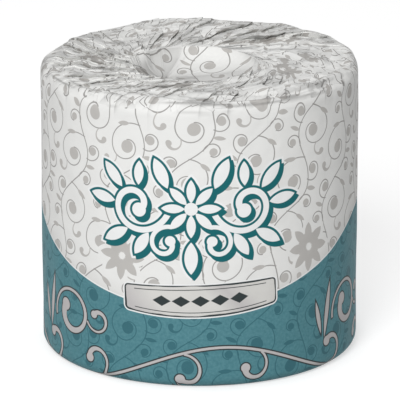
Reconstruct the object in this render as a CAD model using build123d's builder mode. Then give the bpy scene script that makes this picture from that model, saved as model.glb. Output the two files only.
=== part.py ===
"""Single-wrapped toilet paper roll, standing on one end.

A printed paper sheet is wound once round the roll and glued to itself along a lap.
At each end it is gathered with a twist over the end of the roll and tucked into the core.
The pack is closed and nothing inside it shows, so it is one solid.

The origin is the middle of the foot, +Z is up, and the lap is at the back, at +Y.
"""

from build123d import *

import os
from itertools import pairwise
from math import asin, cos, degrees, pi, sin, sqrt

# The pack
roll_diameter = 115.0
roll_height = 105.5
shoulder_radius = 5.0
foot_radius = 4.0

# The lap, where the sheet's end is glued over its start
lap_width = 14.0
lap_step = 0.25
lap_end_gap = 0.6
lap_direction = 90.0

# Every fold is straight and passes the axis at this distance, as the folds of a twisted gather do
fold_offset = 17.0

# The folds over the top
fold_count = 27
fold_height = 1.5
fold_rim_width = 11.0
fold_mouth_width = 5.0
fold_back = 0.45
fold_tip_inset = 2.0
fold_pucker_length = 9.0

# The same folds under the foot, which the weight presses flat, so that they show as creases
crease_count = 25
crease_depth = 0.7
crease_share = 0.5
crease_rim_land = 5.0

# The mouth at each end, where the gathered sheet rolls over a soft lip and goes down into the core
lip_diameter = 48.0
lip_drop = 3.5
mouth_diameter = 40.0
throat_diameter = 8.0
throat_depth = 15.0
throat_fold_count = 11
throat_fold_depth = 3.5
throat_twist = 40.0

# The gather's twisted end lies to one side in the core, and a smooth flap slopes down to it
throat_shift = 10.0
throat_direction = 212.0
flap_sweep = 85.0

# How small a fold is at its tip, and how far folds stray from a regular place and size
tip_share = 0.12
stray_place = 0.3
stray_size = 0.3

# How far a piece reaches past a surface that it joins or cuts
reach = 1.0

roll_radius = roll_diameter / 2
mouth_radius = mouth_diameter / 2
lip_radius = lip_diameter / 2
throat_radius = throat_diameter / 2
fold_length = sqrt(roll_radius**2 - fold_offset**2)


def stray(index, salt):
    """A repeatable value from -1 to 1 that looks irregular from one fold to the next."""
    return sin(index * 2.4 + salt) * cos(index * 1.1 + 2 * salt)


def stray_direction(index, count, salt):
    """The direction of one of several folds that are nearly evenly spaced, in degrees."""
    return 360 / count * (index + stray_place * stray(index, salt))


def along_fold(radius):
    """How far along its line a fold is when it comes to a distance from the axis."""
    return fold_length - sqrt(radius**2 - fold_offset**2)


def fold_section(direction, along, height, corners):
    """Corners in the plane square to a fold, as places in space. Their X is clockwise of the fold."""
    lean = asin(fold_offset / roll_radius)
    inwards = Vector(-cos(lean), sin(lean), 0)
    sideways = Vector(0, 0, 1).cross(inwards)
    middle = Vector(roll_radius, 0, height) + inwards * along
    return [(middle + sideways * x + Vector(0, 0, y)).rotate(Axis.Z, direction) for x, y in corners]


def faceted_solid(rings):
    """A closed solid with flat facets between rings that have the same number of corners."""
    faces = [Face(Wire.make_polygon(ring)) for ring in (rings[0], rings[-1])]
    for near, far in pairwise(rings):
        for index in range(len(near)):
            a, b, c, d = near[index - 1], near[index], far[index], far[index - 1]
            faces.append(Face(Wire.make_polygon([a, b, c])))
            faces.append(Face(Wire.make_polygon([a, c, d])))
    return Solid(Shell(faces))


def top_fold(index):
    """One fold over the top, which starts as a pucker on the shoulder and ends in the mouth."""
    direction = stray_direction(index, fold_count, 0)
    size = 1 + stray_size * stray(index, 1)
    tip_radius = roll_radius - fold_tip_inset
    past_flat = max(tip_radius - (roll_radius - shoulder_radius), 0)
    shoulder_drop = shoulder_radius - sqrt(shoulder_radius**2 - past_flat**2)
    tip_along = along_fold(tip_radius)
    rings = []
    for along, level, width, share in (
        (tip_along, roll_height - shoulder_drop, fold_rim_width, size * tip_share),
        (tip_along + fold_pucker_length, roll_height, fold_rim_width, size),
        (fold_length, roll_height, fold_mouth_width, size),
    ):
        corners = ((-fold_back * share, -reach), (width * share, -reach), (0, fold_height * share))
        rings.append(fold_section(direction, along, level, corners))
    return faceted_solid(rings)


def foot_crease(index):
    """One crease to cut under the foot, from a flat land at the rim to the mouth."""
    direction = stray_direction(index, crease_count, 4)
    depth = crease_depth * (1 + stray_size * stray(index, 2))
    width = crease_share * 2 * pi * sqrt(lip_radius**2 - fold_offset**2) / crease_count
    slope_end = width * (1 + reach / depth)
    rings = []
    for along, share in (
        (along_fold(roll_radius - foot_radius - crease_rim_land), tip_share),
        (fold_length, 1),
    ):
        corners = ((0, -reach), (slope_end * share, -reach), (0, depth * share))
        rings.append(fold_section(direction, along, 0, corners))
    return faceted_solid(rings)


def mouth(end_height, outwards):
    """The hollow at one end: a flared lip, then folds that turn and close in, down the core."""
    clear = reach + fold_height * (1 + stray_size)
    flare = (lip_radius - mouth_radius) / lip_drop
    half_step = 180 / throat_fold_count
    rings = []
    for level, radius, fold_depth, turn, shift in (
        (clear, lip_radius + flare * clear, 0, 0, 0),
        (-lip_drop, mouth_radius, throat_fold_depth, 0, 0),
        (-throat_depth, throat_radius, throat_fold_depth * throat_radius / mouth_radius, throat_twist, 1),
    ):
        middle = Vector(throat_shift * shift, 0, 0).rotate(Axis.Z, throat_direction)
        ring = []
        for index in range(2 * throat_fold_count):
            spoke_angle = half_step * (index + stray_place * stray(index, 5))
            on_flap = abs((spoke_angle - throat_direction) % 360 - 180) < flap_sweep / 2
            fold = 0 if on_flap else index % 2 * (1 + stray_size * stray(index, 3))
            spoke = Vector(radius - fold_depth * fold, 0, end_height + outwards * level)
            ring.append(middle + spoke.rotate(Axis.Z, spoke_angle + turn))
        rings.append(ring)
    return faceted_solid(rings)


def upright_section(radius, low, high):
    """Half of the pack's upright section, from the axis to its side."""
    with BuildSketch(Plane.XZ) as section:
        with Locations((radius / 2, (low + high) / 2)):
            Rectangle(radius, high - low)
        rim = section.vertices().group_by(Axis.X)[-1]
        fillet(rim.sort_by(Axis.Y)[0], foot_radius)
        top = section.vertices().group_by(Axis.Y)[-1]
        fillet(top.sort_by(Axis.X)[-1], shoulder_radius)
    return section.sketch


lap_section = upright_section(roll_radius + lap_step, lap_end_gap, roll_height - lap_end_gap)
lap_sweep = degrees(lap_width / roll_radius)

with BuildPart() as wrapped_roll:
    add(upright_section(roll_radius, 0, roll_height))
    revolve(axis=Axis.Z)
    add(lap_section.rotate(Axis.Z, lap_direction - lap_sweep / 2))
    revolve(axis=Axis.Z, revolution_arc=lap_sweep)
    add([top_fold(index) for index in range(fold_count)])
    add([foot_crease(index) for index in range(crease_count)], mode=Mode.SUBTRACT)
    add([mouth(roll_height, 1), mouth(0, -1)], mode=Mode.SUBTRACT)

wrapped_roll.part.label = "wrapped_roll"
os.makedirs("parts", exist_ok=True)
export_step(wrapped_roll.part, "parts/wrapped_roll.step")
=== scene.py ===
"""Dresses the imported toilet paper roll: its printed wrapper, gathered over each end, and a studio.

Lengths are in mm until a point goes into a mesh. The roll stands at the origin with +Z up and its
front at -Y. A place on the sheet is counted round the roll and up its side, as if it lay flat.
"""

import logging
from dataclasses import dataclass
from enum import Enum
from math import cos, e, pi, radians, sin, sqrt, tau

import bmesh
import bpy
import numpy as np
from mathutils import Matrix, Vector


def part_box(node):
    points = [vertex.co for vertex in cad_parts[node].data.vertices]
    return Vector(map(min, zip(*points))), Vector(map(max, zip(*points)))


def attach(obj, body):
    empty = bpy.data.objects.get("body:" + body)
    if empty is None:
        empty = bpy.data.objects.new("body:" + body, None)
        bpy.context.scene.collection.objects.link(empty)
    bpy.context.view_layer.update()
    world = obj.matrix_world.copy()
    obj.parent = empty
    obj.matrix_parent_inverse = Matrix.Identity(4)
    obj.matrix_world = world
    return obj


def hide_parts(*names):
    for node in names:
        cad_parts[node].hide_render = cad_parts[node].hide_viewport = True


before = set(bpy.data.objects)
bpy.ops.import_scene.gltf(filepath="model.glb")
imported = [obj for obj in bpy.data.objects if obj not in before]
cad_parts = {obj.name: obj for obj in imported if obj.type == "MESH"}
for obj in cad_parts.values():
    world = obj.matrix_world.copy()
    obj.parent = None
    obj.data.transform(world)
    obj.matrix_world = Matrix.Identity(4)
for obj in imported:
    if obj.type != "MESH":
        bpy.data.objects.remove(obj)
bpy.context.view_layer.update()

MM = 0.001
NODE = "wrapped_roll"
TINY = 1e-9
Colour = tuple[float, float, float, float]

log = logging.getLogger("scene")


class Chance(Enum):
    """What strays from a regular value from one fold to the next."""

    FOLD_PLACE = 0
    FOLD_SIZE = 1
    STRIP_WIDTH = 7
    FOLD_BEGIN = 11


def stray(index: int, chance: Chance) -> float:
    """A repeatable value from -1 to 1, worked out as for the solid's folds."""
    return sin(index * 2.4 + chance.value) * cos(index * 1.1 + 2 * chance.value)


def frontness(direction: np.ndarray) -> np.ndarray:
    """How far to the front a direction in radians lies, from 0 at the back to 1."""
    return 0.5 - 0.5 * np.sin(direction)


def level_direction(angle: np.ndarray) -> np.ndarray:
    """Level unit vectors in the given directions."""
    return np.stack([np.cos(angle), np.sin(angle), 0 * angle], axis=1)


def bell(value: np.ndarray, middle: float, width: float) -> np.ndarray:
    """A soft bump of height 1 round a middle."""
    return np.exp(-(((value - middle) / width) ** 2))


def smooth_step(low: float, high: float, value: np.ndarray) -> np.ndarray:
    """Rises smoothly from 0 to 1.

    Args:
        low: Where the rise starts.
        high: Where it ends.
        value: The places to work out.

    Returns:
        The rise at each place.
    """
    share = np.clip((value - low) / (high - low), 0, 1)
    return share * share * (3 - 2 * share)


@dataclass(frozen=True)
class Span:
    """A span of directions in degrees, which fades in after its low end and out before its high end."""

    low: float
    high: float
    fade_in: float
    fade_out: float

    def share(self, degrees: np.ndarray) -> np.ndarray:
        """Works out how far directions lie in the span.

        Args:
            degrees: The directions.

        Returns:
            The share of each, from 0 to 1.
        """
        middle = (self.low + self.high) / 2
        wrapped = (degrees - middle + 180) % 360 - 180 + middle
        rise = smooth_step(self.low, self.low + self.fade_in, wrapped)
        return rise * (1 - smooth_step(self.high - self.fade_out, self.high, wrapped))


@dataclass(frozen=True)
class Facets:
    """Random heights joined by flat triangles, as crumpled paper has, with lengths in mm."""

    height: float
    cells_round: int
    cell_length: float
    seed: int
    rows: int = 64

    def rise(self, turn: np.ndarray, along: np.ndarray) -> np.ndarray:
        """Works out how high the facets stand.

        Args:
            turn: Places round the roll, in whole turns.
            along: Places along the sheet, in mm.

        Returns:
            A height for each place.
        """
        heights = np.random.default_rng(self.seed).uniform(-1, 1, (self.rows, self.cells_round))
        line = along / self.cell_length
        skewed = turn * self.cells_round + 0.5 * line
        column, row = np.floor(skewed), np.floor(line)
        x, y = skewed - column, line - row

        def corner(right: int, up: int) -> np.ndarray:
            """The random height at one corner of each cell."""
            cell = (column + right).astype(int) % self.cells_round
            return heights[(row + up).astype(int) % self.rows, cell]

        start, right, above, end = corner(0, 0), corner(1, 0), corner(0, 1), corner(1, 1)
        low = start + (right - start) * x + (above - start) * y
        high = end + (above - end) * (1 - x) + (right - end) * (1 - y)
        return self.height * np.where(x + y < 1, low, high)


class Zone(Enum):
    """The parts of the sheet, from the lower twisted end to the upper one."""

    LOWER_MOUTH = "lower mouth"
    FOOT = "foot"
    SIDE = "side"
    SHOULDER = "shoulder"
    CROWN = "crown"
    UPPER_MOUTH = "upper mouth"

    @property
    def below(self) -> bool:
        """Whether this part lies under the roll."""
        return self in (Zone.LOWER_MOUTH, Zone.FOOT)


@dataclass(frozen=True)
class Row:
    """One row of the sheet's grid.

    It has its place between the crown's edge and the lip, from 0 to 1, its level, its place up the
    flat sheet, how fully the paper is gathered there, and how far it has gone into a mouth.
    """

    zone: Zone
    inwards: float
    level: float
    paper: float
    gather: float = 0.0
    into: float = 0.0


@dataclass(frozen=True)
class Columns:
    """The columns of the sheet's grid, with what each of them has in every row.

    That is its place round the roll in turns, its strip, its fold and its place across that fold,
    the fold's size, how far the fold leans the other way, how far the column is on the flap, its
    direction in degrees where it comes to the lip, how far it is on the left, how far from the axis
    its fold passes and where on the crown that fold begins, and how high the column lies on the
    crests of its fold and of its strip's crease.
    """

    turn: np.ndarray
    strip: np.ndarray
    fold: np.ndarray
    in_fold: np.ndarray
    size: np.ndarray
    leaning: np.ndarray
    flap: np.ndarray
    lip: np.ndarray
    leftwards: np.ndarray
    offset: np.ndarray
    begin: np.ndarray
    fold_crest: np.ndarray
    crease_crest: np.ndarray


@dataclass(frozen=True)
class Pack:
    """The pack's sizes in mm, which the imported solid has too."""

    radius: float
    height: float = 105.5
    shoulder: float = 5.0
    foot: float = 4.0
    fold_offset: float = 17.0
    fold_count: int = 27
    stray_place: float = 0.3

    @property
    def girth(self) -> float:
        """How far it is round the roll."""
        return tau * self.radius

    @property
    def front(self) -> float:
        """How far round the sheet the front lies."""
        return self.girth * 3 / 4

    @property
    def crown_edge(self) -> float:
        """The radius at which the crown starts to round off into the shoulder."""
        return self.radius - self.shoulder

    @property
    def crown_start(self) -> float:
        """How far up the sheet the shoulder starts."""
        return self.height - self.shoulder

    def fold_direction(self, index: int) -> float:
        """The direction in which one fold leaves the rim, in radians."""
        moved = self.stray_place * stray(index % self.fold_count, Chance.FOLD_PLACE)
        return tau / self.fold_count * (index + moved)

    def along_fold(self, radius: float) -> float:
        """How far along its line a fold is at a radius, from the flat crown's edge."""
        return sqrt(self.crown_edge**2 - self.fold_offset**2) - sqrt(radius**2 - self.fold_offset**2)


@dataclass(frozen=True)
class Mouth:
    """The way into the core at each end: a soft lip, then a funnel that closes in a twisted end."""

    lip_radius: float = 23.0
    lip_shift: float = 4.2
    lip_turn: float = 0.7
    lip_reach: float = 5.0
    bend_depth: float = 7.0
    end_middle: tuple[float, float] = (-10.0, 2.5)
    end_radius: float = 2.6
    end_depth: float = 7.2
    end_twist: float = 50.0
    length: float = 24.0
    throat_depth: float = 15.0
    throat_share: float = 0.15

    def lip_at(self, direction: np.ndarray) -> np.ndarray:
        """How far from the axis the lip lies, which is shifted to the front and the left."""
        return self.lip_radius - self.lip_shift * np.sin(direction + self.lip_turn)

    def descend(self, start: np.ndarray, angle: np.ndarray, onwards: np.ndarray, row: Row) -> np.ndarray:
        """Leads the sheet from the lip in a curve to the twisted end, and on down the core.

        Args:
            start: Where each column comes to the lip.
            angle: The direction of each column there.
            onwards: How each column would run on, level, before it bends down.
            row: The row to lay.

        Returns:
            A point for each column.
        """
        down = 1 if row.zone.below else -1
        middle = np.array([*self.end_middle, 0.0])
        bend = start + onwards
        bend[:, 2] = row.level + down * self.bend_depth
        end = middle + self.end_radius * level_direction(angle + radians(self.end_twist))
        end[:, 2] = row.level + down * self.end_depth
        into = min(row.into / (1 - self.throat_share), 1)
        curve = start * (1 - into) ** 2 + bend * 2 * into * (1 - into) + end * into**2
        sink = max(row.into - 1 + self.throat_share, 0) / self.throat_share
        curve[:, :2] += (middle[:2] - curve[:, :2]) * sink**2
        curve[:, 2] += down * (self.throat_depth - self.end_depth) * sink
        return curve


@dataclass(frozen=True)
class Flap:
    """The smooth flap that slopes down into the upper mouth, and the crease across it, in degrees."""

    place: Span = Span(2.0, 146.0, 15.0, 15.0)
    crease: float = 104.0
    crease_blend: float = 4.0
    crease_height: float = 0.9
    crease_slope: float = 14.0
    lip_blend: float = 0.86

    def panel(self, columns: Columns, row: Row) -> np.ndarray:
        """Works out how far a row lies on the flap.

        Args:
            columns: The sheet's columns.
            row: The row.

        Returns:
            The share from 0 to 1, by column.
        """
        if row.zone is Zone.UPPER_MOUTH:
            return columns.flap
        return columns.flap * smooth_step(self.lip_blend, 1.0, np.array(row.inwards))

    def past_crease(self, columns: Columns) -> np.ndarray:
        """How far each column lies on the flap's flat part, past its crease."""
        blend = smooth_step(self.crease - self.crease_blend, self.crease + self.crease_blend, columns.lip)
        return columns.flap * blend

    def rise(self, columns: Columns, row: Row) -> np.ndarray:
        """Works out how far the paper stands up along the crease in a row.

        Args:
            columns: The sheet's columns.
            row: The row.

        Returns:
            The rise, by column.
        """
        slope = smooth_step(self.crease - self.crease_slope, self.crease, columns.lip)
        edge = np.where(columns.lip < self.crease, slope, 0) * columns.flap
        return self.crease_height * edge * 4 * row.into * (1 - row.into) * (row.zone is Zone.UPPER_MOUTH)


@dataclass(frozen=True)
class Section:
    """The rows of the sheet's grid, laid along the roll's upright section."""

    pack: Pack
    mouth: Mouth
    side_rows: int = 34
    shoulder_rows: int = 12
    crown_rows: int = 60
    mouth_rows: int = 46
    heel_rows: int = 6
    foot_rows: int = 14
    foot_mouth_rows: int = 10
    bulge: float = 0.9
    shoulder_fullness: float = 0.5
    pucker_length: float = 9.0
    pucker_gather: float = 0.2
    crown_gather: float = 0.9
    gather_length: float = 8.0
    foot_gather_rows: int = 4

    @property
    def crown_width(self) -> float:
        """How wide the flat crown is, from its edge to the lip."""
        return self.pack.crown_edge - self.mouth.lip_radius

    @property
    def mouth_start(self) -> float:
        """How far up the sheet the upper mouth's lip lies."""
        over_shoulder = self.pack.crown_start + self.pack.shoulder * pi / 2
        return over_shoulder + self.pack.along_fold(self.mouth.lip_radius)

    def radius_at(self, row: Row, direction: np.ndarray) -> np.ndarray:
        """Works out how far from the axis a row lies, which the mouth's shift changes near the lip.

        Args:
            row: The row.
            direction: Directions in radians.

        Returns:
            The radius in each direction.
        """
        shift = self.mouth.lip_at(direction) - self.mouth.lip_radius
        shift *= smooth_step(0.0, 1.0, np.array(row.inwards))
        return self.pack.crown_edge + (shift - self.crown_width) * row.inwards

    def top(self) -> list[Row]:
        """Lays the rows from the shoulder's start in to the twisted end.

        Returns:
            The rows.
        """
        pack, rows = self.pack, []
        for step in range(1, self.shoulder_rows):
            turn = pi / 2 * step / self.shoulder_rows
            level = pack.height - pack.shoulder * (1 - sin(turn))
            level += self.bulge * sin(turn) + self.shoulder_fullness * sin(2 * turn)
            inwards = -pack.shoulder * cos(turn) / self.crown_width
            gather = self.pucker_gather + (self.crown_gather - self.pucker_gather) * sqrt(sin(turn))
            rows.append(Row(Zone.SHOULDER, inwards, level, pack.crown_start + pack.shoulder * turn, gather))
        for step in range(self.crown_rows + 1):
            share = step / self.crown_rows
            along = pack.along_fold(pack.crown_edge - self.crown_width * share)
            paper = pack.crown_start + pack.shoulder * pi / 2 + along
            gather = min(self.crown_gather + along / self.gather_length, 1)
            rows.append(Row(Zone.CROWN, share, pack.height + self.bulge * (1 - share**2), paper, gather))
        for step in range(1, self.mouth_rows + 1):
            into = step / self.mouth_rows
            paper = self.mouth_start + self.mouth.length * into
            rows.append(Row(Zone.UPPER_MOUTH, 1, pack.height, paper, 1, into))
        return rows

    def foot(self) -> list[Row]:
        """Lays the rows from the side's foot in to the lower twisted end, pressed flat by the weight.

        Returns:
            The rows.
        """
        pack, rows = self.pack, []
        flat_edge = -(pack.shoulder - pack.foot) / self.crown_width
        for step in range(1, self.heel_rows):
            turn = pi / 2 * step / self.heel_rows
            inwards = flat_edge - pack.foot * cos(turn) / self.crown_width
            rows.append(Row(Zone.FOOT, inwards, pack.foot * (1 - sin(turn)), pack.foot * (1 - turn)))
        for step in range(self.foot_rows + 1):
            inwards = flat_edge + (1 - flat_edge) * step / self.foot_rows
            paper = pack.foot * (1 - pi / 2) - (inwards - flat_edge) * self.crown_width
            rows.append(Row(Zone.FOOT, inwards, 0.0, paper, min(step / self.foot_gather_rows, 1)))
        lip = rows[-1].paper
        for step in range(1, self.foot_mouth_rows + 1):
            into = step / self.foot_mouth_rows
            rows.append(Row(Zone.LOWER_MOUTH, 1, 0.0, lip - self.mouth.length * into, 1, into))
        return rows

    def rows(self) -> list[Row]:
        """Lays every row, from the lower twisted end up the side to the upper one.

        Returns:
            The rows.
        """
        low, high = self.pack.foot, self.pack.crown_start
        side = []
        for step in range(self.side_rows + 1):
            level = low + (high - low) * step / self.side_rows
            pucker = max(1 - (high - level) / self.pucker_length, 0)
            edge = -self.pack.shoulder / self.crown_width
            side.append(Row(Zone.SIDE, edge, level, level, self.pucker_gather * pucker**2))
        return self.foot()[::-1] + side + self.top()


@dataclass(frozen=True)
class Strips:
    """The strips between two creases, a few to each fold, and the grid's columns across them."""

    pack: Pack
    mouth: Mouth
    flap: Flap
    per_fold: int = 3
    columns_each: int = 6
    first_fold: int = 7
    stray_width: float = 0.3
    front_offset: float = 6.0
    turn_to_lip: float = 0.6
    leaning: Span = Span(5.0, 135.0, 15.0, 15.0)
    leftwards: Span = Span(130.0, 225.0, 20.0, 20.0)
    stray_size: float = 0.4
    smaller_in_front: float = 0.4
    begin: float = -2.5
    stray_begin: float = 3.0

    @property
    def column_count(self) -> int:
        """How many grid cells go round the roll."""
        return self.pack.fold_count * self.per_fold * self.columns_each

    @property
    def in_strip(self) -> np.ndarray:
        """Where the columns lie across one strip, from 0 to nearly 1, closer together near its creases."""
        return 0.5 - 0.5 * np.cos(pi * np.arange(self.columns_each) / self.columns_each)

    def starts(self) -> np.ndarray:
        """Spreads the strips round the rim.

        Returns:
            The direction of each strip's start in radians, one more than there are strips.
        """
        starts = []
        for fold in range(self.pack.fold_count):
            low, high = [self.pack.fold_direction(self.first_fold + fold + end) for end in (0, 1)]
            for strip in range(self.per_fold):
                chance = stray(fold * self.per_fold + strip, Chance.STRIP_WIDTH)
                moved = self.stray_width * chance * (strip > 0)
                starts.append(low + (high - low) * ((strip + moved) / self.per_fold))
        return np.array([*starts, high])

    def offset_at(self, direction: np.ndarray) -> np.ndarray:
        """How far from the axis a fold passes, which is more in front, round the mouth's shifted lip."""
        return self.pack.fold_offset + self.front_offset * frontness(direction) * frontness(direction)

    def swirl(self, radius: np.ndarray, offset: np.ndarray) -> np.ndarray:
        """How far a straight fold has turned about the axis by the time it comes in to a radius."""
        return np.arccos(offset / self.pack.radius) - np.arccos(np.minimum(offset / radius, 1))

    def crest(self, place: np.ndarray, edge: float, leaning: np.ndarray) -> np.ndarray:
        """Rises slowly across a fold and falls steeply at its edge.

        Args:
            place: The places across a fold, from 0 to 1.
            edge: The steep side's share of the fold.
            leaning: 0 where the steep side is the last one, 1 where it is the first.

        Returns:
            Heights from 0 to 1.
        """
        to_end = np.where(place < 1 - edge, place / (1 - edge), (1 - place) / edge)
        to_start = np.where(place > edge, (1 - place) / (1 - edge), place / edge)
        return np.clip(to_end * (1 - leaning) + to_start * leaning, 0, 1)

    def columns(self) -> Columns:
        """Works out what every column has in all rows.

        Returns:
            The columns.
        """
        starts, count = self.starts(), self.pack.fold_count * self.per_fold
        column = np.arange(self.column_count + 1)
        strip = np.minimum(column // self.columns_each, count - 1)
        fold = strip // self.per_fold
        in_strip = np.append(np.tile(self.in_strip, count), 1.0)
        in_fold = (strip % self.per_fold + in_strip) / self.per_fold
        edge = 1 - self.in_strip[-1]
        rim = starts[strip] + (starts[strip + 1] - starts[strip]) * in_strip
        offset = self.offset_at(rim)
        lip = np.degrees(rim + self.swirl(self.mouth.lip_at(rim + self.turn_to_lip), offset))
        leaning = self.leaning.share(np.degrees(rim))
        numbers = [(self.first_fold + int(number)) % self.pack.fold_count for number in fold]
        sizes = [1 + self.stray_size * stray(number, Chance.FOLD_SIZE) for number in numbers]
        begins = [self.begin + self.stray_begin * stray(int(number), Chance.FOLD_BEGIN) for number in fold]
        return Columns(
            turn=column / self.column_count,
            strip=strip,
            fold=fold,
            in_fold=in_fold,
            size=np.array(sizes) * (1 - self.smaller_in_front * frontness(rim)),
            leaning=leaning,
            flap=self.flap.place.share(lip),
            lip=(lip + 180) % 360 - 180,
            leftwards=self.leftwards.share(np.degrees(rim)),
            offset=offset,
            begin=np.array(begins),
            fold_crest=self.crest(in_fold, edge / self.per_fold, leaning),
            crease_crest=self.crest(in_strip, edge, leaning),
        )


@dataclass(frozen=True)
class Crumples:
    """The flat facets that the gathered paper breaks into over the crown.

    The first two shift the others inwards, in mm, and round the roll, in turns.
    """

    inward_warp: Facets = Facets(2.5, 17, 9.0, 14)
    turn_warp: Facets = Facets(0.4 / 19, 11, 8.0, 15)
    broad: Facets = Facets(0.65, 19, 7.0, 5)
    middling: Facets = Facets(0.325, 41, 4.0, 6)
    small: Facets = Facets(0.2, 77, 2.2, 9)
    rim: Facets = Facets(1.105, 21, 2.4, 19)
    rim_middle: float = 2.5
    rim_width: float = 3.5

    def rise(self, points: np.ndarray, radius: float) -> np.ndarray:
        """Works out how high the facets stand, longer round the roll than towards the mouth.

        Args:
            points: Where to work them out.
            radius: The roll's radius.

        Returns:
            A height for each point.
        """
        turn = np.arctan2(points[:, 1], points[:, 0]) / tau % 1
        inwards = radius - np.hypot(points[:, 0], points[:, 1])
        inwards += self.inward_warp.rise(turn, inwards)
        height = self.broad.rise(turn + self.turn_warp.rise(turn, inwards), inwards)
        height += self.middling.rise(turn, inwards) + self.small.rise(turn, inwards)
        return height + self.rim.rise(turn, inwards) * bell(inwards, self.rim_middle, self.rim_width)


@dataclass(frozen=True)
class Folds:
    """The relief of the sheet: soft waves and the lap on the side, then folds, creases and crumples."""

    pack: Pack
    flap: Flap
    crumples: Crumples = Crumples()
    waves: tuple[Facets, ...] = (Facets(0.18, 16, 30.0, 3), Facets(0.07, 40, 14.0, 4))
    lap_step: float = 0.3
    pressed_height: float = 0.5
    height: float = 1.0
    slope: float = 0.25
    overlap: float = 1.4
    overlap_gap: float = 9.0
    crease_height: float = 0.5
    crease_slope: float = 0.15
    crease_overlap: float = 0.4
    start: float = -1.0
    full: float = 6.0
    flap_smoothness: float = 0.97
    fold_chance: Facets = Facets(1.0, 27, 13.0, 31)
    fold_mean: float = 0.75
    fold_variety: float = 1.1
    left_mean: float = 0.25
    left_variety: float = 0.6
    fold_limits: tuple[float, float] = (0.1, 1.7)
    crease_chance: Facets = Facets(1.3, 81, 11.0, 21)
    crease_mean: float = 0.3
    mouth_fold_least: float = 0.8
    mouth_crease_share: float = 0.5

    def fold_sizes(self, columns: Columns, row: Row) -> tuple[np.ndarray, np.ndarray]:
        """Works out how large the folds and creases are in a row, which varies along each of them.

        Args:
            columns: The sheet's columns.
            row: The row.

        Returns:
            The folds' and the creases' share of their full size, by column.
        """
        paper = np.full(columns.turn.shape, row.paper)
        chance = self.fold_chance.rise(columns.fold / self.fold_chance.cells_round, paper)
        variety = self.fold_variety - self.left_variety * columns.leftwards
        mean = self.fold_mean + self.left_mean * columns.leftwards
        folds = np.clip(mean + variety * chance, *self.fold_limits)
        chance = self.crease_chance.rise(columns.strip / self.crease_chance.cells_round, paper)
        creases = np.clip(self.crease_mean + chance, 0, 1)
        if row.zone is Zone.UPPER_MOUTH:
            return np.maximum(folds, self.mouth_fold_least), creases * self.mouth_crease_share
        return folds, creases

    def gathered(self, columns: Columns, row: Row, points: np.ndarray, gap: np.ndarray,
                 inside: np.ndarray) -> tuple[np.ndarray, np.ndarray]:
        """Works out the folds, creases and crumples of a row in the gathered paper.

        Args:
            columns: The sheet's columns.
            row: The row.
            points: Where the row lies before it is folded.
            gap: How wide a fold is there, by column.
            inside: How far past its start each fold is.

        Returns:
            The rise and the slide, by column.
        """
        rough = row.gather * (1 - self.flap_smoothness * self.flap.panel(columns, row))
        folded = rough * smooth_step(self.start, self.full, inside)
        folds, creases = self.fold_sizes(columns, row)
        high = columns.size * folds * np.minimum(self.height, self.slope * gap) * folded
        small = creases * np.minimum(self.crease_height, self.crease_slope * gap) * folded
        rise = high * columns.fold_crest + small * columns.crease_crest
        rise += self.crumples.rise(points, self.pack.radius) * rough * (1 - row.into) ** 3
        over = self.overlap * np.minimum(gap / self.overlap_gap, 1) * folded * columns.size
        over *= 1 - 2 * columns.leaning
        tips = folds * columns.fold_crest**4 + self.crease_overlap * creases * columns.crease_crest**4
        return rise + self.flap.rise(columns, row), over * tips

    def plain(self, columns: Columns, row: Row) -> np.ndarray:
        """Works out the soft waves and the lap, or the pressed folds under the foot.

        Args:
            columns: The sheet's columns.
            row: The row.

        Returns:
            The rise, by column.
        """
        if row.zone.below:
            return -self.pressed_height * row.gather * columns.in_fold
        paper = np.full(columns.turn.shape, row.paper)
        lap = self.lap_step * np.where(columns.fold == self.pack.fold_count - 1, columns.in_fold, 0)
        return sum(wave.rise(columns.turn, paper) for wave in self.waves) + lap * (1 - row.gather)


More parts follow.
